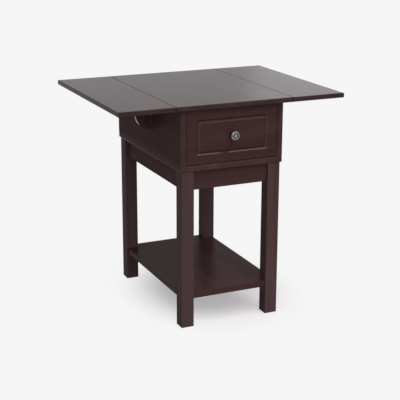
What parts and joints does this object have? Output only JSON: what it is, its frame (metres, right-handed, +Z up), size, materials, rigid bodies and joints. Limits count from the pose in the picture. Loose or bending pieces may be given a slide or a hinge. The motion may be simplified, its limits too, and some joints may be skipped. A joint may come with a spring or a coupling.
{
  "type": "drop-leaf end table",
  "caption": "Dark-stained wooden end table with hinged drop leaves on swinging brackets, a raised-panel drawer with a metal knob, square legs and a lower shelf.",
  "frame": {"origin": "on the floor under the middle of the table top", "axes": "+X to the right along the opened leaves, +Y to the back, +Z up; the drawer opens towards -Y"},
  "size_m": [0.646, 0.496, 0.61],
  "materials": {
    "espresso_wood": "satin dark espresso lacquer over faint straight grain",
    "drawer_wood": "plain unstained wood, matt",
    "dark_metal": "dark bronze paint, satin",
    "zinc_steel": "zinc-plated steel",
    "pewter": "antique pewter, worn bright on the relief"
  },
  "bodies": {
    "base": {"back_apron": "espresso_wood", "back_left_leg": "espresso_wood", "back_right_leg": "espresso_wood", "bracket_fixed_plates": "dark_metal", "case_back": "espresso_wood", "case_bottom": "espresso_wood", "case_left_side": "espresso_wood", "case_right_side": "espresso_wood", "centre_top": "espresso_wood", "corner_blocks": "drawer_wood", "front_apron": "espresso_wood", "front_left_leg": "espresso_wood", "front_right_leg": "espresso_wood", "hinge_fixed_plates": "dark_metal", "left_apron": "espresso_wood", "left_drawer_runner": "drawer_wood", "leg_bolts": "zinc_steel", "leg_nuts": "zinc_steel", "lower_shelf": "espresso_wood", "right_apron": "espresso_wood", "right_drawer_runner": "drawer_wood", "shelf_angles": "dark_metal", "top_back_rail": "drawer_wood", "top_front_rail": "drawer_wood"},
    "left_leaf": {"left_leaf": "espresso_wood", "left_hinge_leaf_plates": "dark_metal"},
    "right_leaf": {"right_leaf": "espresso_wood", "right_hinge_leaf_plates": "dark_metal"},
    "left_bracket": {"left_bracket": "espresso_wood", "left_bracket_swing_plate": "dark_metal"},
    "right_bracket": {"right_bracket": "espresso_wood", "right_bracket_swing_plate": "dark_metal"},
    "drawer": {"drawer_front": "espresso_wood", "drawer_left_side": "drawer_wood", "drawer_right_side": "drawer_wood", "drawer_back": "drawer_wood", "drawer_bottom": "drawer_wood", "drawer_knob": "pewter", "knob_screw": "zinc_steel"}
  },
  "joints": [
    {"name": "drawer_slide", "type": "slide", "parent": "base", "child": "drawer", "axis": [0, -1, 0], "range_m": [0, 0.28]},
    {"name": "left_leaf_drop", "type": "hinge", "parent": "base", "child": "left_leaf", "pos_m": [-0.1675, 0, 0.594], "axis": [0, -1, 0], "range_deg": [0, 90]},
    {"name": "right_leaf_drop", "type": "hinge", "parent": "base", "child": "right_leaf", "pos_m": [0.1675, 0, 0.594], "axis": [0, 1, 0], "range_deg": [0, 90]},
    {"name": "left_bracket_swing", "type": "hinge", "parent": "base", "child": "left_bracket", "pos_m": [-0.15075, -0.033, 0.55], "axis": [0, 0, 1], "range_deg": [0, 90]},
    {"name": "right_bracket_swing", "type": "hinge", "parent": "base", "child": "right_bracket", "pos_m": [0.15075, -0.033, 0.55], "axis": [0, 0, -1], "range_deg": [0, 90]}
  ],
  "couplings": [
    {"joint": "left_bracket_swing", "follows": "left_leaf_drop", "ratio": 1},
    {"joint": "right_bracket_swing", "follows": "right_leaf_drop", "ratio": 1}
  ]
}
